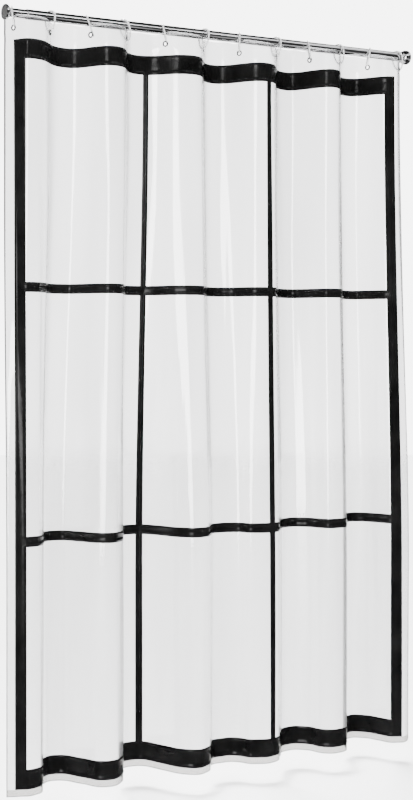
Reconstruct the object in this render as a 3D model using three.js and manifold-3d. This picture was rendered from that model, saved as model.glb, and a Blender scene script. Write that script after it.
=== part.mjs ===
// Clear shower curtain with a black grid, hung on twelve rings from a telescopic rod.
// Frame: millimetres, origin at the left wall pad's wall face on the rod's axis,
// +X along the rod, +Z up, -Y towards the room.
import * as THREE from "three";
import { mergeVertices } from "three/addons/utils/BufferGeometryUtils.js";
import Module from "manifold-3d";

const wasm = await Module();
wasm.setup();

// ---- driving dimensions -------------------------------------------------------------------
const GAP = 0.3; // clearance between touching pieces

// rod
const WALL_TO_WALL = 1290;
const PAD_THICKNESS = 2.5;
const PAD_RADIUS = 19;
const CAP_RADIUS = 20.5;
const CAP_EDGE = 0.5;
const LEFT_CAP_END = 14;
const RIGHT_CAP_START = 1262;
// outlines of the caps, as [x, radius] from the wall and from the collar's open end
const LEFT_CAP_DOME = [[7, CAP_RADIUS], [9.5, 19], [12, 16.5], [LEFT_CAP_END, 14.5]];
const RIGHT_CAP_COLLAR = [
  [0, 15.2], [2, 16], [4, 16], [5, 14.8], [7, 14.8], [9, 17.5], [13, 19.8], [17, CAP_RADIUS],
];
const OUTER_TUBE_RADIUS = 13;
const OUTER_TUBE_BORE = 12;
const OUTER_TUBE_START = 66;
const INNER_TUBE_RADIUS = 11.6;
const INNER_TUBE_BORE = 10.4;
const INNER_TUBE_END = 420;
const LIP_LENGTH = 2.7;
const LIP_RADIUS = 13.5;
const CAP_FLOOR = 6; // depth of the cap's solid end, wall to tube end
const SPINDLE_RADIUS = 4;
const SPINDLE_START = 300;
const SPINDLE_END = 700;
const NUT_LENGTH = 12;
const NUT_INSET = 2; // from the inner tube's end

// sheet
const SHEET_WIDTH = 1780; // flat
const SHEET_TOP = -14;
const SHEET_BOTTOM = -2014;
const SHEET_HALF_THICKNESS = 0.4;
const FILM_BACK = SHEET_HALF_THICKNESS + GAP;
const FILM_THICKNESS = 0.8;
const FILM_FRONT = FILM_BACK + FILM_THICKNESS;

// black grid, heights measured down from the rod's axis
const TOP_BAND = [-70, -122];
const UPPER_TRANSOM = [-691, -717];
const LOWER_TRANSOM = [-1346, -1373];
const BOTTOM_BAND = [-1945, -1996];
const LOW_ROW = -1650; // keeps the lower panes' folds in shape
// uprights, measured across the flat sheet from its left edge
const LEFT_BAND = [26, 62];
const LEFT_MULLION = [589, 605];
const RIGHT_MULLION = [1053, 1069];
const RIGHT_BAND = [1656, 1698];

// rings and eyelets
const RING_COUNT = 12;
const EDGE_TO_EYELET = 25;
const EYELET_PITCH = (SHEET_WIDTH - 2 * EDGE_TO_EYELET) / (RING_COUNT - 1);
const EYELET_OUTER = 8;
const EYELET_HOLE = 5;
const EYELET_BARREL = 6;
const EYELET_FLANGE = 0.9;
const EYELET_SEAT = 0.5; // from the sheet's face to the flange
const FLAT_AROUND_EYELET = 9;
const WIRE_RADIUS = 2;
const RING_HALF_WIDTH = 17.5;
const RING_PLAY = 0.5; // between the rod and the top of the ring
const RING_TOP = OUTER_TUBE_RADIUS + RING_PLAY + WIRE_RADIUS;
const RING_DROP = 40;
const RING_YAWS = [28, -22]; // degrees about Z, for odd and even rings

// Folds from left to right, as [along the rod, towards the room]: the sheet's left edge, its
// eleven fronts and backs in turn, and its right edge, under the rod and then at the hem.
const HEADER_FOLDS = [
  [12, -26], [55, 46], [194, -34], [288, 60], [404, -28], [530, 46], [655, -54],
  [758, 52], [896, -50], [978, 62], [1104, -46], [1204, 52], [1272, -24],
];
const HEM_FOLDS = [
  [12, -10], [78, 8], [176, -92], [292, 34], [426, -120], [552, 46], [664, -28],
  [774, 42], [912, -48], [1004, 46], [1146, -78], [1240, 40], [1284, 16],
];
const HEADER_ROUNDNESS = 0.22;
const HEM_ROUNDNESS = 0.38;
const HEADER_ENDS = -122;
const HEM_SHAPE_FROM = -1500;
const FIRST_FRONT = 84; // the outermost folds to the room, across the flat sheet
const LAST_FRONT = 1700;

// ---- the hanging sheet's surface ------------------------------------------------------------
const lastFold = HEADER_FOLDS.length - 1;
// where each fold lies across the flat sheet
const foldAcross = HEADER_FOLDS.map((_, k) => EDGE_TO_EYELET + EYELET_PITCH * (k - 0.5));
foldAcross[0] = 0;
foldAcross[1] = FIRST_FRONT;
foldAcross[lastFold - 1] = LAST_FRONT;
foldAcross[lastFold] = SHEET_WIDTH;

function smoothStep(value) {
  const x = Math.min(1, Math.max(0, value));
  return x * x * (3 - 2 * x);
}

// The point of the sheet's middle layer at a distance across it and a height.
function sheetPoint(across, height) {
  const toHem = smoothStep((HEADER_ENDS - height) / (HEADER_ENDS - HEM_SHAPE_FROM));
  const mix = (a, b) => a + (b - a) * toHem;
  let k = 0;
  while (k < lastFold - 1 && across > foldAcross[k + 1]) k += 1;
  const part = (across - foldAcross[k]) / (foldAcross[k + 1] - foldAcross[k]);
  const start = [0, 1].map((i) => mix(HEADER_FOLDS[k][i], HEM_FOLDS[k][i]));
  const end = [0, 1].map((i) => mix(HEADER_FOLDS[k + 1][i], HEM_FOLDS[k + 1][i]));
  let along = part;
  let out = (1 - Math.cos(Math.PI * part)) / 2;
  if (k === 0) out = Math.sin((Math.PI / 2) * part);
  else if (k === lastFold - 1) out = 1 - Math.cos((Math.PI / 2) * part);
  else along += (mix(HEADER_ROUNDNESS, HEM_ROUNDNESS) * Math.sin(2 * Math.PI * part)) / (2 * Math.PI);
  return new THREE.Vector3(
    start[0] + (end[0] - start[0]) * along,
    -(start[1] + (end[1] - start[1]) * out),
    height,
  );
}

// The same point moved off the sheet, towards the room where offset is positive.
function offsetPoint(across, height, offset) {
  const before = sheetPoint(Math.max(0, across - 1), height);
  const after = sheetPoint(Math.min(SHEET_WIDTH, across + 1), height);
  const tangent = after.sub(before).normalize();
  const normal = new THREE.Vector3(tangent.y, -tangent.x, 0);
  return sheetPoint(across, height).addScaledVector(normal, offset);
}

// A closed layer that follows the sheet over the given columns and rows.
function layer(columns, rows, back, front) {
  const positions = [];
  for (const offset of [back, front]) {
    for (const height of rows) {
      for (const across of columns) positions.push(...offsetPoint(across, height, offset).toArray());
    }
  }
  const nx = columns.length;
  const nz = rows.length;
  const at = (side, i, j) => side * nx * nz + j * nx + i;
  const faces = [];
  const quad = (a, b, c, d) => faces.push(a, d, c, a, c, b);
  for (let j = 0; j < nz - 1; j += 1) {
    for (let i = 0; i < nx - 1; i += 1) {
      quad(at(1, i, j), at(1, i + 1, j), at(1, i + 1, j + 1), at(1, i, j + 1));
      faces.push(at(0, i, j), at(0, i + 1, j + 1), at(0, i, j + 1));
      faces.push(at(0, i, j), at(0, i + 1, j), at(0, i + 1, j + 1));
    }
    quad(at(0, 0, j), at(1, 0, j), at(1, 0, j + 1), at(0, 0, j + 1));
    quad(at(1, nx - 1, j), at(0, nx - 1, j), at(0, nx - 1, j + 1), at(1, nx - 1, j + 1));
  }
  for (let i = 0; i < nx - 1; i += 1) {
    quad(at(0, i, 0), at(0, i + 1, 0), at(1, i + 1, 0), at(1, i, 0));
    quad(at(1, i, nz - 1), at(1, i + 1, nz - 1), at(0, i + 1, nz - 1), at(0, i, nz - 1));
  }
  const geometry = new THREE.BufferGeometry();
  geometry.setAttribute("position", new THREE.Float32BufferAttribute(positions, 3));
  geometry.setIndex(faces);
  return geometry;
}

// ---- columns and rows shared by the sheet and the grid ----------------------------------------
const eyeletAcross = [];
for (let i = 0; i < RING_COUNT; i += 1) eyeletAcross.push(EDGE_TO_EYELET + EYELET_PITCH * i);

const uprights = [LEFT_BAND, LEFT_MULLION, RIGHT_MULLION, RIGHT_BAND];
const columnSet = [...foldAcross, ...uprights.flat()];
const BENDS = [0.22, 0.78]; // where the sheet bends most, as parts of the way between folds
for (let k = 1; k < lastFold - 1; k += 1) {
  for (const part of BENDS) {
    columnSet.push(foldAcross[k] + (foldAcross[k + 1] - foldAcross[k]) * part);
  }
}
for (const across of eyeletAcross) {
  columnSet.push(across - FLAT_AROUND_EYELET, across + FLAT_AROUND_EYELET);
}
const MIN_COLUMN = 3;
const columns = columnSet.sort((a, b) => a - b).filter((value, i, all) => {
  const isFixed = uprights.flat().includes(value) || value === 0 || value === SHEET_WIDTH;
  const tooNear = (j) => all[j] !== undefined && Math.abs(all[j] - value) < MIN_COLUMN;
  if (isFixed) return all.indexOf(value) === i;
  return !tooNear(i - 1) && !(tooNear(i + 1) && uprights.flat().includes(all[i + 1]));
});
const rows = [
  SHEET_TOP, ...TOP_BAND, ...UPPER_TRANSOM, ...LOWER_TRANSOM, LOW_ROW, ...BOTTOM_BAND, SHEET_BOTTOM,
];
const within = (values, a, b) => values.filter((v) => v >= Math.min(a, b) && v <= Math.max(a, b));

// ---- booleans -----------------------------------------------------------------------------------
function toManifold(geometry) {
  const bare = geometry.clone();
  bare.deleteAttribute("normal");
  bare.deleteAttribute("uv");
  const merged = mergeVertices(bare, 1e-4);
  return new wasm.Manifold(new wasm.Mesh({
    numProp: 3,
    vertProperties: new Float32Array(merged.attributes.position.array),
    triVerts: new Uint32Array(merged.index.array),
  }));
}

function fromManifold(manifold) {
  const mesh = manifold.getMesh();
  const geometry = new THREE.BufferGeometry();
  geometry.setAttribute("position", new THREE.Float32BufferAttribute(mesh.vertProperties, 3));
  geometry.setIndex(Array.from(mesh.triVerts));
  return geometry;
}

// ---- shapes ---------------------------------------------------------------------------------------
const TURN_SEGMENTS = 20;
const EYELET_SEGMENTS = 12;
const DRILL_SEGMENTS = 16;
const DRILL_LENGTH = 8;

// A solid turned about the rod's axis; the outline is [x, radius] points.
function turned(outline) {
  const points = outline.map(([x, radius]) => new THREE.Vector2(radius, x));
  const geometry = new THREE.LatheGeometry(points, TURN_SEGMENTS);
  geometry.rotateZ(-Math.PI / 2);
  return geometry;
}

function tube(start, end, radius, bore) {
  return turned([[start, bore], [start, radius], [end, radius], [end, bore], [start, bore]]);
}

// An eyelet about the Z axis: a barrel with a flange on each face of the sheet.
function eyeletGeometry() {
  const seat = SHEET_HALF_THICKNESS + EYELET_SEAT;
  const face = seat + EYELET_FLANGE;
  const barrel = EYELET_BARREL - GAP;
  const outline = [
    [EYELET_HOLE, -face], [EYELET_OUTER, -face], [EYELET_OUTER, -seat], [barrel, -seat],
    [barrel, seat], [EYELET_OUTER, seat], [EYELET_OUTER, face], [EYELET_HOLE, face],
    [EYELET_HOLE, -face],
  ];
  const points = outline.map(([radius, z]) => new THREE.Vector2(radius, z));
  return new THREE.LatheGeometry(points, EYELET_SEGMENTS).rotateX(Math.PI / 2);
}

// A pear-shaped wire ring in the XZ plane, round the rod at the top: a torus pulled into shape.
const RING_SEGMENTS = 24;
const RING_SIDES = 6;
function ringGeometry() {
  const outlineAt = (angle) => {
    const depth = Math.sin(angle) >= 0 ? RING_TOP : RING_DROP;
    return new THREE.Vector2(RING_HALF_WIDTH * Math.cos(angle), depth * Math.sin(angle));
  };
  const geometry = new THREE.TorusGeometry(RING_DROP, WIRE_RADIUS, RING_SIDES, RING_SEGMENTS);
  const position = geometry.attributes.position;
  for (let i = 0; i < position.count; i += 1) {
    const angle = Math.atan2(position.getY(i), position.getX(i));
    const outward = Math.hypot(position.getX(i), position.getY(i)) - RING_DROP;
    const step = 0.01;
    const tangent = outlineAt(angle + step).sub(outlineAt(angle - step)).normalize();
    const centre = outlineAt(angle);
    position.setXYZ(
      i,
      centre.x + tangent.y * outward,
      -position.getZ(i),
      centre.y - tangent.x * outward,
    );
  }
  return geometry;
}

// ---- materials and assembly ---------------------------------------------------------------------------
const LOOKS = {
  chrome: { color: 0xc4c6c8, roughness: 0.12, metalness: 1.0 },
  rubber: { color: 0x2a2a2a, roughness: 0.8, metalness: 0.0 },
  steel: { color: 0x8a8d90, roughness: 0.35, metalness: 1.0 },
  clearPlastic: { color: 0xe8eaea, roughness: 0.15, metalness: 0.0, transparent: true, opacity: 0.6 },
  clearVinyl: { color: 0xdfe1e1, roughness: 0.12, metalness: 0.0, transparent: true, opacity: 0.25 },
  blackFilm: { color: 0x101010, roughness: 0.22, metalness: 0.0 },
};

const group = new THREE.Group();

function add(name, geometry, look) {
  const mesh = new THREE.Mesh(geometry, new THREE.MeshStandardMaterial(LOOKS[look]));
  mesh.name = name;
  group.add(mesh);
  return mesh;
}

// a solid bar or disc about the rod's axis
function bar(start, end, radius) {
  return turned([[start, 0], [start, radius], [end, radius], [end, 0]]);
}

// rod: the left cap and inner tube, and the outer tube and right cap that slide on them
function addRod() {
  const end = WALL_TO_WALL;
  const padFace = PAD_THICKNESS + GAP;
  const innerBore = INNER_TUBE_RADIUS + GAP;
  const outerBore = OUTER_TUBE_RADIUS + GAP;
  const tubeEnd = end - CAP_FLOOR;
  const lipEnd = OUTER_TUBE_START - GAP;
  const tubeFit = OUTER_TUBE_BORE - GAP;
  add("left_wall_pad", bar(0, PAD_THICKNESS, PAD_RADIUS), "rubber");
  add("left_end_cap", turned([
    [padFace, 0], [padFace, CAP_RADIUS - CAP_EDGE], [padFace + CAP_EDGE, CAP_RADIUS],
    ...LEFT_CAP_DOME, [LEFT_CAP_END, innerBore], [CAP_FLOOR, innerBore], [CAP_FLOOR, 0],
  ]), "chrome");
  const innerTube = tube(CAP_FLOOR + GAP, INNER_TUBE_END, INNER_TUBE_RADIUS, INNER_TUBE_BORE);
  add("inner_tube", innerTube, "chrome");
  const outerTube = tube(OUTER_TUBE_START, tubeEnd - GAP, OUTER_TUBE_RADIUS, OUTER_TUBE_BORE);
  add("outer_tube", outerTube, "chrome");
  add("outer_tube_lip", tube(lipEnd - LIP_LENGTH, lipEnd, LIP_RADIUS, OUTER_TUBE_BORE), "chrome");
  add("right_end_cap", turned([
    [end - padFace, 0], [tubeEnd, 0], [tubeEnd, outerBore], [RIGHT_CAP_START, outerBore],
    ...RIGHT_CAP_COLLAR.map(([x, radius]) => [RIGHT_CAP_START + x, radius]),
    [end - padFace - CAP_EDGE, CAP_RADIUS], [end - padFace, CAP_RADIUS - CAP_EDGE],
    [end - padFace, 0],
  ]), "chrome");
  add("right_wall_pad", bar(end - PAD_THICKNESS, end, PAD_RADIUS), "rubber");
  add("spindle", bar(SPINDLE_START, SPINDLE_END, SPINDLE_RADIUS), "steel");
  const plug = SPINDLE_END + GAP;
  add("spindle_plug", bar(plug, plug + NUT_LENGTH, tubeFit), "rubber");
  const nut = INNER_TUBE_END - NUT_LENGTH - NUT_INSET;
  const nutShape = tube(nut, nut + NUT_LENGTH, INNER_TUBE_BORE - GAP, SPINDLE_RADIUS + GAP);
  add("spindle_nut", nutShape, "rubber");
}

// Each eyelet's place and turn on the sheet, and the lean of the ring that carries it.
function hangingPoint(index) {
  const across = eyeletAcross[index];
  const before = sheetPoint(across - FLAT_AROUND_EYELET, SHEET_TOP);
  const after = sheetPoint(across + FLAT_AROUND_EYELET, SHEET_TOP);
  const middle = before.clone().add(after).multiplyScalar(0.5);
  const lean = Math.asin(-middle.y / RING_DROP);
  return {
    x: middle.x,
    y: middle.y,
    z: -RING_DROP * Math.cos(lean),
    turn: Math.atan2(after.y - before.y, after.x - before.x),
    lean,
  };
}

function placeEyelet(object, point) {
  object.rotation.set(Math.PI / 2, 0, point.turn, "ZXY");
  object.position.set(point.x, point.y, point.z);
}

function addSheet() {
  let sheet = toManifold(layer(columns, rows, -SHEET_HALF_THICKNESS, SHEET_HALF_THICKNESS));
  for (let i = 0; i < RING_COUNT; i += 1) {
    const drill = new THREE.Mesh(
      new THREE.CylinderGeometry(EYELET_BARREL, EYELET_BARREL, DRILL_LENGTH, DRILL_SEGMENTS)
        .rotateX(Math.PI / 2),
    );
    placeEyelet(drill, hangingPoint(i));
    drill.updateMatrix();
    sheet = sheet.subtract(toManifold(drill.geometry.applyMatrix4(drill.matrix)));
  }
  add("clear_sheet", fromManifold(sheet), "clearVinyl");
}

function addFilm(name, acrossRange, heightRange) {
  const stripColumns = within(columns, ...acrossRange);
  const stripRows = within(rows, ...heightRange);
  add(name, layer(stripColumns, stripRows, FILM_BACK, FILM_FRONT), "blackFilm");
}

// A strip whose ends stop just short of the strips that it meets.
function addFilmBetween(name, acrossRange, heightRange, sideGap, endGap) {
  const [left, right] = acrossRange;
  const [top, bottom] = heightRange;
  const inside = within(columns, left + MIN_COLUMN, right - MIN_COLUMN);
  const between = within(rows, top - MIN_COLUMN, bottom + MIN_COLUMN);
  const stripColumns = [left + sideGap, ...inside, right - sideGap];
  const stripRows = [top - endGap, ...between, bottom + endGap];
  add(name, layer(stripColumns, stripRows, FILM_BACK, FILM_FRONT), "blackFilm");
}

function addGrid() {
  addFilm("left_band", LEFT_BAND, [TOP_BAND[0], BOTTOM_BAND[1]]);
  addFilm("right_band", RIGHT_BAND, [TOP_BAND[0], BOTTOM_BAND[1]]);
  const inner = [LEFT_BAND[1], RIGHT_BAND[0]];
  addFilmBetween("top_band", inner, TOP_BAND, GAP, 0);
  addFilmBetween("bottom_band", inner, BOTTOM_BAND, GAP, 0);
  const mullionHeights = [TOP_BAND[1], BOTTOM_BAND[0]];
  addFilmBetween("left_mullion", LEFT_MULLION, mullionHeights, 0, GAP);
  addFilmBetween("right_mullion", RIGHT_MULLION, mullionHeights, 0, GAP);
  const panes = [
    ["left", LEFT_BAND[1], LEFT_MULLION[0]],
    ["middle", LEFT_MULLION[1], RIGHT_MULLION[0]],
    ["right", RIGHT_MULLION[1], RIGHT_BAND[0]],
  ];
  for (const [pane, from, to] of panes) {
    addFilmBetween(`upper_transom_${pane}`, [from, to], UPPER_TRANSOM, GAP, 0);
    addFilmBetween(`lower_transom_${pane}`, [from, to], LOWER_TRANSOM, GAP, 0);
  }
}

function addRings() {
  for (let i = 0; i < RING_COUNT; i += 1) {
    const label = String(i + 1).padStart(2, "0");
    const point = hangingPoint(i);
    placeEyelet(add(`eyelet_${label}`, eyeletGeometry(), "chrome"), point);
    const yaw = THREE.MathUtils.degToRad(RING_YAWS[i % 2]);
    const ring = add(`ring_${label}`, ringGeometry(), "clearPlastic");
    ring.rotation.set(-point.lean, 0, Math.PI / 2 - yaw, "XZY");
    ring.position.set(point.x, 0, 0);
  }
}

addRod();
addSheet();
addGrid();
addRings();

export default group;
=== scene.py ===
import math

import bpy
import numpy as np
from mathutils import Euler, Matrix, Vector, noise


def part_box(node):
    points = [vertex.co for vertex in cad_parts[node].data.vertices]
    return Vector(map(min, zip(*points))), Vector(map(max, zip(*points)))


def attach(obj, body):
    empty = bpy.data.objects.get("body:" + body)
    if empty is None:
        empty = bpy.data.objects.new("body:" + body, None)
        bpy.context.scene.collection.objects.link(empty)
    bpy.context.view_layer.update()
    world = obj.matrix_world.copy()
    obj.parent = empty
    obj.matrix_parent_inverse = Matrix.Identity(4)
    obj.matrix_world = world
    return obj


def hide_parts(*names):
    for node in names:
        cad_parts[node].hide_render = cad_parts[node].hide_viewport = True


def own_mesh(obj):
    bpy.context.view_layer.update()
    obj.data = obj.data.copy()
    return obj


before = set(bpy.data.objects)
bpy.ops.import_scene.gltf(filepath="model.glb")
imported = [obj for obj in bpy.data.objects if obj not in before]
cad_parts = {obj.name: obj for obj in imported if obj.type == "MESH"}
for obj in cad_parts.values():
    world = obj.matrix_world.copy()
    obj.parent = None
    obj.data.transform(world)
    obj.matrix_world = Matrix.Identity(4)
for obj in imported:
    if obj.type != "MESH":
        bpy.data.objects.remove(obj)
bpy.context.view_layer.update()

MM = 0.001

# ---- the curtain's dimensions, in millimetres in the row's frame, as the CAD has them ----------
SHEET_WIDTH = 1780.0
SHEET_TOP = -14.0
SHEET_BOTTOM = -2014.0
SHEET_THICKNESS = 0.35
EDGE_TO_EYELET = 25.0
RING_COUNT = 12
EYELET_PITCH = (SHEET_WIDTH - 2 * EDGE_TO_EYELET) / (RING_COUNT - 1)
EYELET_ACROSS = [EDGE_TO_EYELET + EYELET_PITCH * i for i in range(RING_COUNT)]
EYELET_HEIGHT = -40.0
FLAT_AROUND_EYELET = 9.0
HOLE_IN_SHEET = 6.2

TOP_BAND = (-70.0, -122.0)
UPPER_TRANSOM = (-691.0, -717.0)
LOWER_TRANSOM = (-1346.0, -1373.0)
BOTTOM_BAND = (-1945.0, -1996.0)
HEM_FOLD = -1996.5
LEFT_BAND = (26.0, 62.0)
LEFT_MULLION = (589.0, 605.0)
RIGHT_MULLION = (1053.0, 1069.0)
RIGHT_BAND = (1656.0, 1698.0)

# Folds from left to right, as (along the rod, towards the room), under the rod and at the hem.
HEADER_FOLDS = [
    (12, -26), (55, 46), (194, -34), (288, 60), (404, -28), (530, 46), (655, -54),
    (758, 52), (896, -50), (978, 62), (1104, -46), (1204, 52), (1272, -24),
]
HEM_FOLDS = [
    (12, -10), (78, 8), (176, -92), (292, 34), (426, -120), (552, 46), (664, -28),
    (774, 42), (912, -48), (1004, 46), (1146, -78), (1240, 40), (1284, 16),
]
HEADER_ROUNDNESS = 0.22
HEM_ROUNDNESS = 0.38
HEADER_ENDS = -122.0
HEM_SHAPE_FROM = -1500.0
FOLD_ACROSS = [EDGE_TO_EYELET + EYELET_PITCH * (k - 0.5) for k in range(len(HEADER_FOLDS))]
FOLD_ACROSS[0] = 0.0
FOLD_ACROSS[1] = 84.0
FOLD_ACROSS[-2] = 1700.0
FOLD_ACROSS[-1] = SHEET_WIDTH

SLOPE_STEP = 0.8  # to either side of a point, for the sheet's slope there
PULL_RADIUS = 42.0  # how far the creases under an eyelet reach
PULL_HEIGHT = 1.5
EDGE_LIFT = 8.0
LEAST_GAP = 0.55  # between two lines of the sheet's mesh
COLUMN_SPACING = 7.0
ROW_SPACING = 18.0
EYELET_SPACING = 1.8

# ---- camera ---------------------------------------------------------------------------------------
VIEW_TURN = 30.2  # degrees that the camera is turned towards the far end of the rod
CAMERA_PLACE = (-1.610, -3.798, -0.8655)


def make_camera():
    data = bpy.data.cameras.new("camera")
    data.lens = 72.0
    data.sensor_width = 36.0
    data.shift_y = -0.0625
    data.clip_start = 0.05
    data.clip_end = 60.0
    camera = bpy.data.objects.new("camera", data)
    camera.location = CAMERA_PLACE
    camera.rotation_euler = (math.radians(90), 0, -math.radians(VIEW_TURN))
    bpy.context.scene.collection.objects.link(camera)
    bpy.context.scene.camera = camera


# ---- the hanging sheet ------------------------------------------------------------------------------
def smooth_step(value):
    x = np.clip(value, 0.0, 1.0)
    return x * x * (3 - 2 * x)


def fold_plan(across, height):
    """Where the sheet is, along the rod and towards the room, with its large folds only."""
    across, height = np.broadcast_arrays(np.asarray(across, float), np.asarray(height, float))
    to_hem = smooth_step((HEADER_ENDS - height) / (HEADER_ENDS - HEM_SHAPE_FROM))
    places = np.array(FOLD_ACROSS)
    last = len(places) - 1
    k = np.clip(np.searchsorted(places, across, side="left") - 1, 0, last - 1)
    part = (across - places[k]) / (places[k + 1] - places[k])
    header, hem = np.array(HEADER_FOLDS, float), np.array(HEM_FOLDS, float)
    mixed = lambda i, c: header[i, c] * (1 - to_hem) + hem[i, c] * to_hem
    roundness = HEADER_ROUNDNESS * (1 - to_hem) + HEM_ROUNDNESS * to_hem
    along = part + roundness * np.sin(2 * math.pi * part) / (2 * math.pi)
    out = (1 - np.cos(math.pi * part)) / 2
    first, final = k == 0, k == last - 1
    along = np.where(first | final, part, along)
    out = np.where(first, np.sin(math.pi / 2 * part), out)
    out = np.where(final, 1 - np.cos(math.pi / 2 * part), out)
    x = mixed(k, 0) + (mixed(k + 1, 0) - mixed(k, 0)) * along
    t = mixed(k, 1) + (mixed(k + 1, 1) - mixed(k, 1)) * out
    return x, t


def small_ripples(across, height):
    """The shallow upright ripples between the large folds, none at the eyelets."""
    below = SHEET_TOP - height
    grow = smooth_step((below - 90) / 500)
    drift = below / 2000
    wave = 1.5 * np.sin(2 * math.pi * (across / 83 + 0.35 * drift) + 0.6)
    wave += 1.0 * np.sin(2 * math.pi * (across / 51 - 0.5 * drift) + 2.1)
    wave += 1.2 * np.sin(2 * math.pi * (across / 307 + 1.3 * drift) + 4.0)
    return wave * grow


def eyelet_pulls(across, height):
    """Short creases that fan out under each eyelet, where the sheet's weight hangs."""
    total = 0.0
    for middle in EYELET_ACROSS:
        dx, dz = across - middle, height - EYELET_HEIGHT
        reach = np.hypot(dx, dz)
        fan = np.arctan2(dx, -dz)
        strength = smooth_step((reach - FLAT_AROUND_EYELET) / 12) * np.exp(-((reach / PULL_RADIUS) ** 2))
        total = total + PULL_HEIGHT * strength * np.cos(5.0 * fan + 0.4) * np.maximum(np.cos(fan), 0)
    return total


def edge_lift(toward_room, height):
    """The top edge stands higher where the header folds back behind the rod."""
    near_top = 1 - smooth_step((SHEET_TOP - height) / 60)
    behind = smooth_step((-toward_room - 12) / 30)
    return EDGE_LIFT * behind * near_top


def sheet_points(across, height, offset=0.0):
    """Points of the sheet, in metres, moved off it by offset millimetres towards the room."""
    across, height = np.broadcast_arrays(np.asarray(across, float), np.asarray(height, float))
    x, t = fold_plan(across, height)
    x0, t0 = fold_plan(across - SLOPE_STEP, height)
    x1, t1 = fold_plan(across + SLOPE_STEP, height)
    length = np.hypot(x1 - x0, t1 - t0)
    nx, nt = -(t1 - t0) / length, (x1 - x0) / length
    away = small_ripples(across, height) + eyelet_pulls(across, height) + offset
    lift = edge_lift(t, height)
    return np.stack([x + nx * away, -(t + nt * away), height + lift], -1) * MM


def lines_near(edges, distances):
    return [e + s * d for e in edges for d in distances for s in (-1, 1)]


def distinct(values, low, high, least):
    """The sorted values from low to high, with those nearer than least to the last one left out."""
    kept = []
    for value in sorted(v for v in values if low <= v <= high):
        if not kept or value - kept[-1] >= least:
            kept.append(value)
    return kept


def with_fixed(values, fixed, low, high, least):
    free = [v for v in values if all(abs(v - f) >= least for f in fixed)]
    kept = distinct(free, low, high, least)
    return sorted(kept + [f for f in fixed if low <= f <= high])


RIDGE_LINES = (1.0, 2.4, 3.6, 5.0, 6.4, 7.8)
UPRIGHTS = (LEFT_BAND, LEFT_MULLION, RIGHT_MULLION, RIGHT_BAND)
LEVELS = (TOP_BAND, UPPER_TRANSOM, LOWER_TRANSOM, BOTTOM_BAND)


def make_columns():
    fixed = [0.0, SHEET_WIDTH] + [edge for bar in UPRIGHTS for edge in bar]
    fixed += lines_near([edge for bar in UPRIGHTS for edge in bar], RIDGE_LINES)
    values = list(np.arange(0, SHEET_WIDTH, COLUMN_SPACING))
    for across in EYELET_ACROSS:
        first, final = across - FLAT_AROUND_EYELET, across + FLAT_AROUND_EYELET + 0.1
        values += list(np.arange(first, final, EYELET_SPACING))
    return with_fixed(values, sorted(set(fixed)), 0.0, SHEET_WIDTH, LEAST_GAP)


def make_rows():
    fixed = [SHEET_TOP, SHEET_BOTTOM] + [edge for bar in LEVELS for edge in bar]
    fixed += lines_near([edge for bar in LEVELS for edge in bar], RIDGE_LINES)
    values = list(np.arange(SHEET_BOTTOM, SHEET_TOP, ROW_SPACING))
    values += list(np.arange(EYELET_HEIGHT - 12, EYELET_HEIGHT + 10, EYELET_SPACING))
    values += list(np.arange(TOP_BAND[0], SHEET_TOP, 5.0))
    values += list(np.arange(BOTTOM_BAND[1] - 22, BOTTOM_BAND[0] + 10, 6.0))
    values += list(np.arange(TOP_BAND[1], TOP_BAND[0], 6.0))
    return with_fixed(values, sorted(set(fixed)), SHEET_BOTTOM, SHEET_TOP, LEAST_GAP)


COLUMNS = np.array(make_columns())
ROWS = np.array(make_rows()[::-1])


# ---- objects -------------------------------------------------------------------------------------------
def make_mesh(name, points, faces, sharp_angle=None):
    mesh = bpy.data.meshes.new(name)
    mesh.from_pydata([tuple(p) for p in points], [], faces)
    mesh.validate()
    mesh.shade_smooth()
    if sharp_angle is not None:
        mesh.set_sharp_from_angle(angle=math.radians(sharp_angle))
    piece = bpy.data.objects.new(name, mesh)
    bpy.context.scene.collection.objects.link(piece)
    return piece


def dress(piece, material, slot, body, *nodes):
    piece.data.materials.append(material)
    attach(piece, body)
    if nodes:
        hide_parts(*nodes)
    return piece


def apply_modifiers(piece):
    graph = bpy.context.evaluated_depsgraph_get()
    mesh = bpy.data.meshes.new_from_object(piece.evaluated_get(graph))
    piece.modifiers.clear()
    piece.data = mesh


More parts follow.
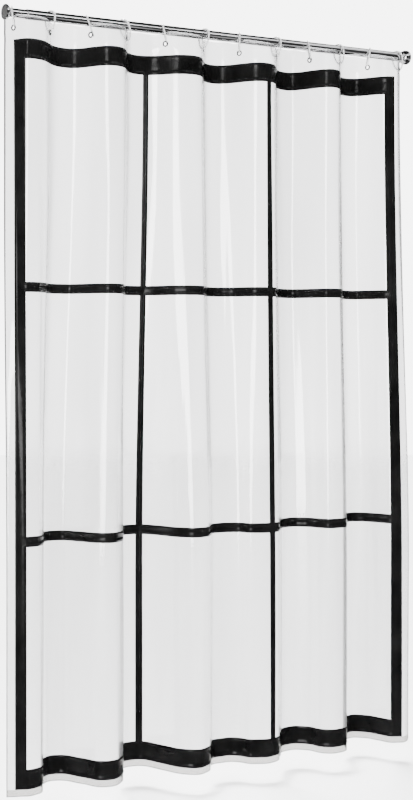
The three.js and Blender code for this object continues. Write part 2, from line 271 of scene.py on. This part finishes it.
# ---- materials -------------------------------------------------------------------------------------------
class Shader:
    """A material with one Principled shader, and the few kinds of node that these need."""

    def __init__(self, name, **sockets):
        self.material = bpy.data.materials.new(name)
        self.material.use_nodes = True
        self.tree = self.material.node_tree
        self.surface = self.tree.nodes["Principled BSDF"]
        self.output = self.tree.nodes["Material Output"]
        for key, value in sockets.items():
            self.surface.inputs[key.replace("_", " ")].default_value = value
        self.place = self.tree.nodes.new("ShaderNodeTexCoord").outputs["Object"]

    def node(self, kind, inputs=None, **settings):
        made = self.tree.nodes.new(kind)
        for key, value in settings.items():
            setattr(made, key, value)
        for key, value in (inputs or {}).items():
            if isinstance(value, bpy.types.NodeSocket):
                self.tree.links.new(value, made.inputs[key])
            else:
                made.inputs[key].default_value = value
        return made

    def noise(self, scale, stretch=(1, 1, 1), detail=3.0, rough=0.5, distortion=0.0):
        mapped = self.node("ShaderNodeMapping", {"Vector": self.place, "Scale": stretch})
        inputs = {"Vector": mapped.outputs[0], "Scale": scale, "Detail": detail}
        inputs.update({"Roughness": rough, "Distortion": distortion})
        return self.node("ShaderNodeTexNoise", inputs).outputs["Fac"]

    def ramp(self, value, low, high, start=0.3, end=0.7):
        inputs = {"Value": value, "From Min": start, "From Max": end, "To Min": low, "To Max": high}
        return self.node("ShaderNodeMapRange", inputs).outputs["Result"]

    def blend(self, factor, a, b):
        mix = self.node("ShaderNodeMix", data_type="RGBA")
        self.tree.links.new(factor, mix.inputs["Factor"])
        for socket, colour in ((mix.inputs[6], a), (mix.inputs[7], b)):
            if isinstance(colour, bpy.types.NodeSocket):
                self.tree.links.new(colour, socket)
            else:
                socket.default_value = (*colour, 1)
        return mix.outputs[2]

    def maths(self, operation, a, b):
        made = self.node("ShaderNodeMath", operation=operation)
        for socket, value in zip(made.inputs, (a, b)):
            if isinstance(value, bpy.types.NodeSocket):
                self.tree.links.new(value, socket)
            else:
                socket.default_value = value
        return made.outputs[0]

    def bump(self, height, strength, distance, under=None):
        inputs = {"Height": height, "Strength": strength, "Distance": distance}
        if under is not None:
            inputs["Normal"] = under
        return self.node("ShaderNodeBump", inputs).outputs[0]

    def link(self, value, socket):
        self.tree.links.new(value, self.surface.inputs[socket])

    def let_lamps_through(self, tint):
        """Shadows of a clear piece are as pale as the piece."""
        rays = self.node("ShaderNodeLightPath").outputs["Is Shadow Ray"]
        clear = self.node("ShaderNodeBsdfTransparent", {"Color": (*tint, 1)}).outputs[0]
        mix = self.node("ShaderNodeMixShader", {"Fac": rays})
        self.tree.links.new(self.surface.outputs[0], mix.inputs[1])
        self.tree.links.new(clear, mix.inputs[2])
        self.tree.links.new(mix.outputs[0], self.output.inputs["Surface"])


def clear_vinyl():
    s = Shader("clear_vinyl", IOR=1.52, Transmission_Weight=0.985, Coat_Weight=0.4, Coat_Roughness=0.03)
    flat = s.node("ShaderNodeTexCoord").outputs["UV"]
    parts = s.node("ShaderNodeSeparateXYZ", {"Vector": flat})
    across, drop = parts.outputs["X"], parts.outputs["Y"]
    # painted light and shade: noise stretched upright gives the sheet's tint soft lighter and darker streaks.
    # These stand in for the reflections and shading of the folds, and body carries them into the base colour.
    painted_streak_stretch = s.node("ShaderNodeMapping", {"Vector": flat, "Scale": (3.2, 0.35, 1)})
    cloud = s.node("ShaderNodeTexNoise", {"Vector": painted_streak_stretch.outputs[0], "Scale": 3.0, "Detail": 3.0})
    body = s.blend(s.ramp(cloud.outputs["Fac"], 0, 1), (0.50, 0.50, 0.503), (0.68, 0.68, 0.683))
    hem_at = (HEM_FOLD - SHEET_TOP) / (SHEET_BOTTOM - SHEET_TOP)
    hemmed = s.blend(s.ramp(drop, 0, 1, hem_at - 0.0004, hem_at), body, (0.34, 0.335, 0.325))
    side = s.maths("MINIMUM", across, s.maths("SUBTRACT", 1.0, across))
    side_trim = s.ramp(side, 1, 0, 0.0008, 0.0016)
    foot_trim = s.ramp(drop, 0, 1, 0.9986, 0.9992)
    trim = s.maths("MAXIMUM", side_trim, foot_trim)
    s.link(s.blend(trim, hemmed, (0.10, 0.10, 0.10)), "Base Color")
    s.link(s.ramp(s.noise(9, stretch=(1, 1, 0.3)), 0.05, 0.12), "Roughness")
    upright = s.noise(26, stretch=(1, 1, 0.05), detail=3)
    fine = s.noise(170, stretch=(1, 1, 0.5), detail=2)
    s.link(s.bump(fine, 0.04, 0.0006, s.bump(upright, 0.3, 0.004)), "Normal")
    s.let_lamps_through((0.9, 0.9, 0.905))
    return s.material


def black_film():
    s = Shader("black_film", IOR=1.46, Specular_IOR_Level=0.09)
    cloud = s.noise(14, detail=5)
    s.link(s.blend(s.ramp(cloud, 0, 1), (0.002, 0.002, 0.002), (0.006, 0.006, 0.006)), "Base Color")
    s.link(s.ramp(s.noise(30, detail=4), 0.12, 0.24), "Roughness")
    crinkle = s.noise(42, detail=3, distortion=0.8)
    grain = s.noise(420, detail=2)
    s.link(s.bump(grain, 0.05, 0.0004, s.bump(crinkle, 0.15, 0.003)), "Normal")
    return s.material


def chrome():
    s = Shader("chrome", Metallic=1.0)
    smear = s.noise(8, stretch=(3, 1, 1), detail=4)
    s.link(s.blend(s.ramp(smear, 0, 1), (0.46, 0.46, 0.47), (0.56, 0.56, 0.57)), "Base Color")
    s.link(s.ramp(smear, 0.06, 0.13), "Roughness")
    s.link(s.bump(s.noise(600, stretch=(0.05, 1, 1), detail=2), 0.03, 0.0003), "Normal")
    return s.material


def eyelet_metal():
    s = Shader("eyelet_metal", Metallic=1.0)
    wear = s.noise(300, detail=4)
    s.link(s.blend(s.ramp(wear, 0, 1), (0.04, 0.04, 0.042), (0.09, 0.09, 0.092)), "Base Color")
    s.link(s.ramp(wear, 0.25, 0.38), "Roughness")
    s.link(s.bump(s.noise(900, detail=2), 0.08, 0.0003), "Normal")
    return s.material


def ring_plastic():
    s = Shader("ring_plastic", IOR=1.47, Transmission_Weight=0.35)
    cloud = s.noise(120, detail=3)
    s.link(s.blend(s.ramp(cloud, 0, 1), (0.60, 0.60, 0.60), (0.74, 0.74, 0.74)), "Base Color")
    s.link(s.ramp(cloud, 0.08, 0.2), "Roughness")
    s.link(s.bump(s.noise(260, detail=2), 0.1, 0.0004), "Normal")
    s.let_lamps_through((0.7, 0.7, 0.7))
    return s.material


def rubber():
    s = Shader("rubber", IOR=1.5)
    dust = s.noise(90, detail=5)
    s.link(s.blend(s.ramp(dust, 0, 1), (0.020, 0.020, 0.020), (0.045, 0.045, 0.044)), "Base Color")
    s.link(s.ramp(dust, 0.6, 0.8), "Roughness")
    s.link(s.bump(s.noise(700, detail=3), 0.3, 0.0005), "Normal")
    return s.material


def nylon():
    s = Shader("nylon", IOR=1.5)
    speck = s.noise(400, detail=4)
    s.link(s.blend(s.ramp(speck, 0, 1), (0.05, 0.05, 0.05), (0.09, 0.09, 0.09)), "Base Color")
    s.link(s.ramp(speck, 0.4, 0.55), "Roughness")
    s.link(s.bump(speck, 0.15, 0.0004), "Normal")
    return s.material


def turned_steel():
    s = Shader("turned_steel", Metallic=1.0)
    turns = s.noise(1400, stretch=(1, 0.02, 0.02), detail=2)
    s.link(s.blend(s.ramp(turns, 0, 1), (0.38, 0.39, 0.40), (0.52, 0.53, 0.54)), "Base Color")
    s.link(s.ramp(turns, 0.3, 0.42), "Roughness")
    s.link(s.bump(turns, 0.2, 0.0004), "Normal")
    return s.material


# ---- the sheet and its grid ------------------------------------------------------------------------------
def grid_faces(nx, nz, keep=None):
    faces = []
    for j in range(nz - 1):
        for i in range(nx - 1):
            if keep is None or keep[j, i]:
                a = j * nx + i
                faces.append((a, a + nx, a + nx + 1, a + 1))
    return faces


def make_sheet(material):
    across, height = np.meshgrid(COLUMNS, ROWS)
    points = sheet_points(across, height)
    middle = (points[:-1, :-1] + points[1:, 1:]) / 2
    keep = np.ones(middle.shape[:2], bool)
    for i in range(RING_COUNT):
        centre = eyelet_centre(i)
        keep &= np.linalg.norm(middle - np.array(centre), axis=2) > HOLE_IN_SHEET * MM
    piece = make_mesh("hung_sheet", points.reshape(-1, 3), grid_faces(len(COLUMNS), len(ROWS), keep))
    flat_place = np.stack([across / SHEET_WIDTH, (SHEET_TOP - height) / (SHEET_TOP - SHEET_BOTTOM)], -1)
    flat_place = flat_place.reshape(-1, 2)
    layer = piece.data.uv_layers.new(name="flat")
    for loop in piece.data.loops:
        layer.data[loop.index].uv = flat_place[loop.vertex_index]
    thick = piece.modifiers.new("thickness", "SOLIDIFY")
    thick.thickness = SHEET_THICKNESS * MM
    thick.offset = 0.0
    apply_modifiers(piece)
    return dress(piece, material, "clear_vinyl", "curtain", "clear_sheet")


# The openings of the black grid, as (left, right, top, bottom).
PANES = [
    (left, right, top, bottom)
    for left, right in (
        (LEFT_BAND[1], LEFT_MULLION[0]),
        (LEFT_MULLION[1], RIGHT_MULLION[0]),
        (RIGHT_MULLION[1], RIGHT_BAND[0]),
    )
    for top, bottom in (
        (TOP_BAND[1], UPPER_TRANSOM[0]),
        (UPPER_TRANSOM[1], LOWER_TRANSOM[0]),
        (LOWER_TRANSOM[1], BOTTOM_BAND[0]),
    )
]
FILM_BACK = 0.25
FILM_BODY = 0.35
RIDGE_HEIGHT = 1.3
RIDGE_FROM_EDGE = 5.4
RIDGE_WIDTH = 1.7


def to_grid_edge(across, height):
    """Distance from a point of the black film to the nearest edge of the film."""
    inside = np.minimum(across - LEFT_BAND[0], RIGHT_BAND[1] - across)
    inside = np.minimum(inside, TOP_BAND[0] - height)
    nearest = np.minimum(inside, height - BOTTOM_BAND[1])
    for left, right, top, bottom in PANES:
        dx = np.maximum(np.maximum(left - across, across - right), 0)
        dz = np.maximum(np.maximum(bottom - height, height - top), 0)
        nearest = np.minimum(nearest, np.hypot(dx, dz))
    return nearest


def crinkles(across, height):
    """Small dents and puckers of the welded film, most in the bottom band."""
    lively = 0.35 + 1.0 * smooth_step((-1900 - height) / 40) + 0.25 * smooth_step((across - 1600) / 60)
    bumps = np.array([
        noise.noise(Vector((a / 21, h / 16, 3.7))) + 0.6 * noise.noise(Vector((a / 9, h / 8, 9.1)))
        for a, h in zip(across.ravel(), height.ravel())
    ]).reshape(across.shape)
    return 0.7 * lively * np.maximum(bumps, -0.35)


def make_film(name, across_range, height_range, material):
    tiny = 1e-6
    columns = COLUMNS[(COLUMNS >= across_range[0] - tiny) & (COLUMNS <= across_range[1] + tiny)]
    rows = ROWS[(ROWS <= height_range[0] + tiny) & (ROWS >= height_range[1] - tiny)]
    across, height = np.meshgrid(columns, rows)
    edge = to_grid_edge(across, height)
    ridge = RIDGE_HEIGHT * np.exp(-(((edge - RIDGE_FROM_EDGE) / RIDGE_WIDTH) ** 2))
    body = FILM_BODY * (0.4 + 0.6 * smooth_step(edge / 1.5))
    front = FILM_BACK + body + ridge + np.maximum(crinkles(across, height), 0) * smooth_step(edge / 5)
    nx, nz = len(columns), len(rows)
    points = np.concatenate([
        sheet_points(across, height, front).reshape(-1, 3),
        sheet_points(across, height, FILM_BACK).reshape(-1, 3),
    ])
    faces = grid_faces(nx, nz)
    behind = nx * nz
    faces += [tuple(behind + v for v in reversed(f)) for f in grid_faces(nx, nz)]
    border = [i for i in range(nx)]
    border += [j * nx + nx - 1 for j in range(1, nz)]
    border += [(nz - 1) * nx + i for i in range(nx - 2, -1, -1)]
    border += [j * nx for j in range(nz - 2, 0, -1)]
    for a, b in zip(border, border[1:] + border[:1]):
        faces.append((a, b, behind + b, behind + a))
    piece = make_mesh("film_" + name, points, faces, sharp_angle=50)
    return dress(piece, material, "black_film", "curtain", name)


def make_grid(material):
    inner = (LEFT_BAND[1], RIGHT_BAND[0])
    full_height = (TOP_BAND[0], BOTTOM_BAND[1])
    between_bands = (TOP_BAND[1], BOTTOM_BAND[0])
    made = [
        make_film("left_band", LEFT_BAND, full_height, material),
        make_film("right_band", RIGHT_BAND, full_height, material),
        make_film("top_band", inner, TOP_BAND, material),
        make_film("bottom_band", inner, BOTTOM_BAND, material),
        make_film("left_mullion", LEFT_MULLION, between_bands, material),
        make_film("right_mullion", RIGHT_MULLION, between_bands, material),
    ]
    spans = {
        "left": (LEFT_BAND[1], LEFT_MULLION[0]),
        "middle": (LEFT_MULLION[1], RIGHT_MULLION[0]),
        "right": (RIGHT_MULLION[1], RIGHT_BAND[0]),
    }
    for place, span in spans.items():
        made.append(make_film(f"upper_transom_{place}", span, UPPER_TRANSOM, material))
        made.append(make_film(f"lower_transom_{place}", span, LOWER_TRANSOM, material))
    return made


# ---- rings and eyelets -----------------------------------------------------------------------------------
WIRE_RADIUS = 2.0
RING_HALF_WIDTH = 17.5
RING_TOP = 15.5
RING_DROP = 40.0
RING_YAWS = (math.radians(28), math.radians(-22))  # odd and even rings


def label(i):
    return f"{i + 1:02d}"


def ring_body(i):
    return "curtain" if i == 0 else f"ring_{label(i)}_body"


def eyelet_centre(i):
    low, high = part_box("eyelet_" + label(i))
    return (Vector(low) + Vector(high)) / 2


def lathe_mesh(name, outline, segments, closed, sharp_angle=35):
    """A solid turned about X; the outline is (x, radius) points in millimetres."""
    points, rings = [], []
    for x, radius in outline:
        if radius <= 0:
            rings.append([len(points)])
            points.append((x * MM, 0, 0))
            continue
        rings.append(list(range(len(points), len(points) + segments)))
        for s in range(segments):
            turn = 2 * math.pi * s / segments
            points.append((x * MM, radius * MM * math.cos(turn), radius * MM * math.sin(turn)))
    faces = []
    pairs = list(zip(rings, rings[1:] + rings[:1])) if closed else list(zip(rings, rings[1:]))
    for a, b in pairs:
        for s in range(segments):
            n = (s + 1) % segments
            if len(a) == 1 and len(b) == 1:
                continue
            if len(a) == 1:
                faces.append((a[0], b[s], b[n]))
            elif len(b) == 1:
                faces.append((a[s], b[0], a[n]))
            else:
                faces.append((a[s], b[s], b[n], a[n]))
    return make_mesh(name, points, faces, sharp_angle)


def make_eyelet(i, material):
    hole, outer, seat, face = 4.4, 8.0, 0.75, 1.8
    half = [(-face * 0.55, hole), (-face * 0.9, hole + 0.35), (-face, hole + 1.0)]
    half += [(-face * 0.97, hole + 1.8), (-face * 0.8, outer - 0.45), (-seat, outer)]
    half += [(-seat + 0.25, outer - 0.4), (-seat + 0.25, 6.0)]
    outline = half + [(-x, r) for x, r in reversed(half)]
    piece = lathe_mesh("grommet_" + label(i), outline, 40, True, 60)
    across = EYELET_ACROSS[i]
    x0, t0 = fold_plan(across - FLAT_AROUND_EYELET, SHEET_TOP)
    x1, t1 = fold_plan(across + FLAT_AROUND_EYELET, SHEET_TOP)
    turn = math.atan2(-(t1 - t0), x1 - x0) - math.pi / 2
    piece.data.transform(Matrix.Translation(eyelet_centre(i)) @ Matrix.Rotation(turn, 4, "Z"))
    return dress(piece, material, "eyelet_metal", ring_body(i), "eyelet_" + label(i))


def make_ring(i, material):
    """A pear-shaped moulded ring, round the rod at the top and through the eyelet below."""
    segments, sides = 96, 16
    centre = eyelet_centre(i)
    lean = math.asin(-centre.y / MM / RING_DROP)
    turn = Euler((-lean, 0, math.pi / 2 - RING_YAWS[i % 2]), "XZY").to_matrix()
    points, faces = [], []
    for k in range(segments):
        angle = 2 * math.pi * k / segments
        depth = RING_TOP if math.sin(angle) >= 0 else RING_DROP
        path = Vector((RING_HALF_WIDTH * math.cos(angle), 0, depth * math.sin(angle)))
        tangent = Vector((-RING_HALF_WIDTH * math.sin(angle), 0, depth * math.cos(angle))).normalized()
        outward = Vector((tangent.z, 0, -tangent.x))
        for m in range(sides):
            around = 2 * math.pi * m / sides
            radial = WIRE_RADIUS * (1 + 0.05 * math.cos(2 * around))
            point = path + outward * radial * math.cos(around)
            point += Vector((0, 1, 0)) * 0.95 * WIRE_RADIUS * math.sin(around)
            points.append((turn @ point) * MM + Vector((centre.x, 0, 0)))
            n, mm = (k + 1) % segments, (m + 1) % sides
            faces.append((k * sides + m, n * sides + m, n * sides + mm, k * sides + mm))
    piece = make_mesh("loop_" + label(i), points, faces)
    return dress(piece, material, "ring_plastic", ring_body(i), "ring_" + label(i))


# ---- rod ---------------------------------------------------------------------------------------------------
OUTER_TUBE_RADIUS, OUTER_TUBE_BORE = 13.0, 12.0
INNER_TUBE_RADIUS, INNER_TUBE_BORE = 11.6, 10.4
LIP_RADIUS = 13.5
CAP_RADIUS = 20.5
CAP_COLLAR_RADIUS = 16.0
CAP_COLLAR_BORE = 13.3
PAD_RADIUS = 19.0
ROUND_SEGMENTS = 128


def make_rod(shine, pad_material, steel, plastic):
    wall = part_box("right_wall_pad")[1][0] / MM
    lip_low, lip_high = (v[0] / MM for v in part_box("outer_tube_lip"))
    outer_start, outer_end = (v[0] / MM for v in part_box("outer_tube"))
    inner_start, inner_end = (v[0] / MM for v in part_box("inner_tube"))
    cap_low, cap_high = (v[0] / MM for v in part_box("right_end_cap"))
    left_low, left_high = (v[0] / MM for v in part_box("left_end_cap"))
    pad_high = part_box("left_wall_pad")[1][0] / MM

    def tube(name, start, end, radius, bore, body, node, edge=0.35):
        outline = [
            (start, bore), (start, radius - edge), (start + edge * 0.4, radius - edge * 0.3),
            (start + edge, radius), (end - edge, radius), (end - edge * 0.4, radius - edge * 0.3),
            (end, radius - edge), (end, bore),
        ]
        return dress(lathe_mesh(name, outline, ROUND_SEGMENTS, True), shine, "chrome", body, node)

    tube("tube_outer", outer_start, outer_end, OUTER_TUBE_RADIUS, OUTER_TUBE_BORE,
         "sliding_rod", "outer_tube")
    tube("tube_inner", inner_start, inner_end, INNER_TUBE_RADIUS, INNER_TUBE_BORE,
         "fixed_rod", "inner_tube")
    tube("tube_lip", lip_low, lip_high, LIP_RADIUS, OUTER_TUBE_BORE,
         "sliding_rod", "outer_tube_lip", edge=0.8)

    left = [(left_low, 0.0), (left_low, 19.9), (left_low + 0.25, 20.35), (left_low + 0.8, CAP_RADIUS)]
    left += [(6.0, CAP_RADIUS), (7.2, 20.3), (8.6, 19.6), (10.0, 18.4), (11.4, 17.0), (12.6, 15.6)]
    left += [(left_high - 0.4, 14.6), (left_high, 14.2), (left_high, 11.9), (6.0, 11.9), (6.0, 0.0)]
    dress(lathe_mesh("cap_left", left, ROUND_SEGMENTS, False), shine, "chrome", "fixed_rod", "left_end_cap")

    right = [(cap_high - 3.2, 0.0), (cap_high - 3.2, CAP_COLLAR_BORE)]
    right += [(cap_low, CAP_COLLAR_BORE), (cap_low, 14.8)]
    right += [(cap_low + 0.5, 15.4), (cap_low + 1.6, CAP_COLLAR_RADIUS)]
    right += [(cap_low + 3.4, CAP_COLLAR_RADIUS), (cap_low + 4.4, 15.5)]
    right += [(cap_low + 4.9, 14.8), (cap_low + 6.6, 14.8), (cap_low + 7.2, 15.6), (cap_low + 9, 17.6)]
    right += [(cap_low + 11, 18.9), (cap_low + 13.5, 19.9), (cap_low + 16.5, 20.4)]
    right += [(cap_low + 19, CAP_RADIUS)]
    right += [(cap_high - 1.0, CAP_RADIUS), (cap_high - 0.3, 20.3), (cap_high, 19.9), (cap_high, 0.0)]
    cap = lathe_mesh("cap_right", right, ROUND_SEGMENTS, False)
    dress(cap, shine, "chrome", "sliding_rod", "right_end_cap")

    def pad(name, face, back, body, node):
        step = 0.5 if back > face else -0.5
        outline = [(face, 0.0), (face, 17.2), (face + step * 0.3, 17.6), (face + step, 17.8)]
        outline += [(face + step * 1.4, 18.7), (face + step * 2.4, PAD_RADIUS), (back - step, PAD_RADIUS)]
        outline += [(back - step * 0.3, 18.8), (back, 18.3), (back, 0.0)]
        dress(lathe_mesh(name, outline, 96, False), pad_material, "rubber", body, node)

    pad("pad_left", 0.0, pad_high, "fixed_rod", "left_wall_pad")
    pad("pad_right", wall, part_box("right_wall_pad")[0][0] / MM, "sliding_rod", "right_wall_pad")

    for node, material in (("spindle", steel), ("spindle_plug", plastic), ("spindle_nut", plastic)):
        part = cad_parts[node]
        part.data.materials.clear()
        part.data.materials.append(material)


# ---- studio ------------------------------------------------------------------------------------------------
FLOOR = SHEET_BOTTOM * MM - 0.045
WHITE = 6.5  # brightness of the cove behind the curtain
COVE_MIRRORED = 0.9  # and how much of it shines in glossy surfaces
DARK = 0.03  # brightness above the cove
MIDDLE = (0.65, 0.0, -1.0)
FLOOR_RADIUS = 14.0
FLOOR_SIDES = 64
PANEL_WATTS = 330
STRIP_WATTS = 30
SKYLIGHT_STRENGTH = 21.0


def make_stage():
    s = Shader("studio_paper", Roughness=0.9)
    s.link(s.blend(s.ramp(s.noise(3), 0, 1), (0.86, 0.86, 0.86), (0.88, 0.88, 0.88)), "Base Color")
    turns = [2 * math.pi * k / FLOOR_SIDES for k in range(FLOOR_SIDES)]
    rim = [(MIDDLE[0] + FLOOR_RADIUS * math.cos(t), FLOOR_RADIUS * math.sin(t), FLOOR) for t in turns]
    paper = make_mesh("studio_floor", rim, [tuple(range(FLOOR_SIDES))])
    paper.data.materials.append(s.material)
    paper.visible_glossy = False  # the black film and the chrome mirror the dim room, not the floor


def add_light(name, kind, place, target, power, **settings):
    data = bpy.data.lights.new(name, kind)
    data.energy = power
    for key, value in settings.items():
        setattr(data, key, value)
    lamp = bpy.data.objects.new(name, data)
    lamp.location = place
    lamp.rotation_euler = (Vector(target) - Vector(place)).to_track_quat("-Z", "Y").to_euler()
    bpy.context.scene.collection.objects.link(lamp)
    return lamp


class WorldNodes:
    """The few kinds of node that the studio's surroundings need."""

    def __init__(self):
        world = bpy.data.worlds.new("studio_world")
        bpy.context.scene.world = world
        world.use_nodes = True
        self.tree = world.node_tree
        direction = self.tree.nodes.new("ShaderNodeTexCoord").outputs["Generated"]
        self.direction = direction
        parts = self.tree.nodes.new("ShaderNodeSeparateXYZ")
        self.tree.links.new(direction, parts.inputs[0])
        self.depth, self.rise = parts.outputs["Y"], parts.outputs["Z"]

    def levels(self, bands):
        """Brightness by rise, from (rise, brightness) pairs."""
        scale = self.remap(self.rise, -1, 1, 0, 1)
        ramp = self.tree.nodes.new("ShaderNodeValToRGB")
        while len(ramp.color_ramp.elements) < len(bands):
            ramp.color_ramp.elements.new(0.5)
        for element, (rise, level) in zip(ramp.color_ramp.elements, bands):
            element.position = (rise + 1) / 2
            element.color = (level, level, level, 1)
        self.tree.links.new(scale, ramp.inputs["Fac"])
        return ramp.outputs["Color"]

    def remap(self, value, start, end, low, high):
        made = self.tree.nodes.new("ShaderNodeMapRange")
        settings = {"From Min": start, "From Max": end, "To Min": low, "To Max": high}
        for key, number in settings.items():
            made.inputs[key].default_value = number
        self.tree.links.new(value, made.inputs["Value"])
        return made.outputs[0]

    def stripes(self, low, high):
        """Soft upright bands of lighter and darker surroundings."""
        stretch = self.tree.nodes.new("ShaderNodeMapping")
        stretch.inputs["Scale"].default_value = (1, 1, 0.15)
        self.tree.links.new(self.direction, stretch.inputs[0])
        texture = self.tree.nodes.new("ShaderNodeTexNoise")
        texture.inputs["Scale"].default_value = 2.4
        texture.inputs["Detail"].default_value = 1.0
        self.tree.links.new(stretch.outputs[0], texture.inputs["Vector"])
        return self.remap(texture.outputs["Fac"], 0.38, 0.62, low, high)

    def mirroring(self):
        """One for what is mirrored in a surface, none for what is seen straight or through the vinyl."""
        path = self.tree.nodes.new("ShaderNodeLightPath")
        made = self.tree.nodes.new("ShaderNodeMath")
        made.operation = "SUBTRACT"
        made.use_clamp = True
        self.tree.links.new(path.outputs["Is Glossy Ray"], made.inputs[0])
        self.tree.links.new(path.outputs["Is Transmission Ray"], made.inputs[1])
        return made.outputs[0]

    def product(self, a, b):
        made = self.tree.nodes.new("ShaderNodeMath")
        made.operation = "MULTIPLY"
        self.tree.links.new(a, made.inputs[0])
        self.tree.links.new(b, made.inputs[1])
        return made.outputs[0]

    def blend(self, factor, a, b):
        made = self.tree.nodes.new("ShaderNodeMix")
        for socket, value in zip(made.inputs[:1] + made.inputs[2:4], (factor, a, b)):
            self.tree.links.new(value, socket)
        return made.outputs[0]


def make_world():
    """A white cove behind the curtain, and a dim room with bright bands in front of it."""
    w = WorldNodes()
    room = w.levels([
        (-1.00, 0.10), (-0.66, 0.10), (-0.60, 1.20), (-0.36, 1.20), (-0.30, 0.12), (0.00, 0.12),
        (0.42, 0.08), (0.48, 1.80), (0.70, 1.80), (0.77, DARK), (1.00, DARK),
    ])
    cove = w.levels([(-1.00, WHITE), (0.30, WHITE), (0.40, DARK), (1.00, DARK)])
    mirrored = w.levels([(-1.00, COVE_MIRRORED), (0.30, COVE_MIRRORED), (0.40, DARK), (1.00, DARK)])
    cove = w.blend(w.mirroring(), cove, mirrored)
    striped = w.product(room, w.stripes(0.05, 1.5))
    strength = w.blend(w.remap(w.depth, 0.55, 0.75, 0, 1), striped, cove)
    w.tree.links.new(strength, w.tree.nodes["Background"].inputs["Strength"])
    w.tree.nodes["Background"].inputs["Color"].default_value = (1.0, 1.0, 1.0, 1)


def make_lights():
    add_light("panel", "AREA", (-3.2, -3.2, -0.6), MIDDLE, PANEL_WATTS,
              shape="RECTANGLE", size=1.5, size_y=2.8)
    strip_target = (0.65, 0.0, -0.4)
    add_light("front_strip", "AREA", (0.9, -2.6, 1.5), strip_target, STRIP_WATTS,
              shape="RECTANGLE", size=3.4, size_y=0.22)
    skylight = add_light("skylight", "SUN", (1.5, 3.0, 4.0), MIDDLE, SKYLIGHT_STRENGTH,
                         angle=math.radians(25))
    skylight.visible_glossy = False  # it only lifts the floor; the chrome mirrors the room
    make_world()


# ---- build -----------------------------------------------------------------------------------------------
make_camera()
vinyl, film, shine = clear_vinyl(), black_film(), chrome()
metal, plastic = eyelet_metal(), ring_plastic()
make_rod(shine, rubber(), turned_steel(), nylon())
sheet = make_sheet(vinyl)
bars = make_grid(film)
loops = [make_ring(i, plastic) for i in range(RING_COUNT)]
grommets = [make_eyelet(i, metal) for i in range(RING_COUNT)]

for piece in [sheet] + bars:
    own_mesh(piece)

make_stage()
make_lights()
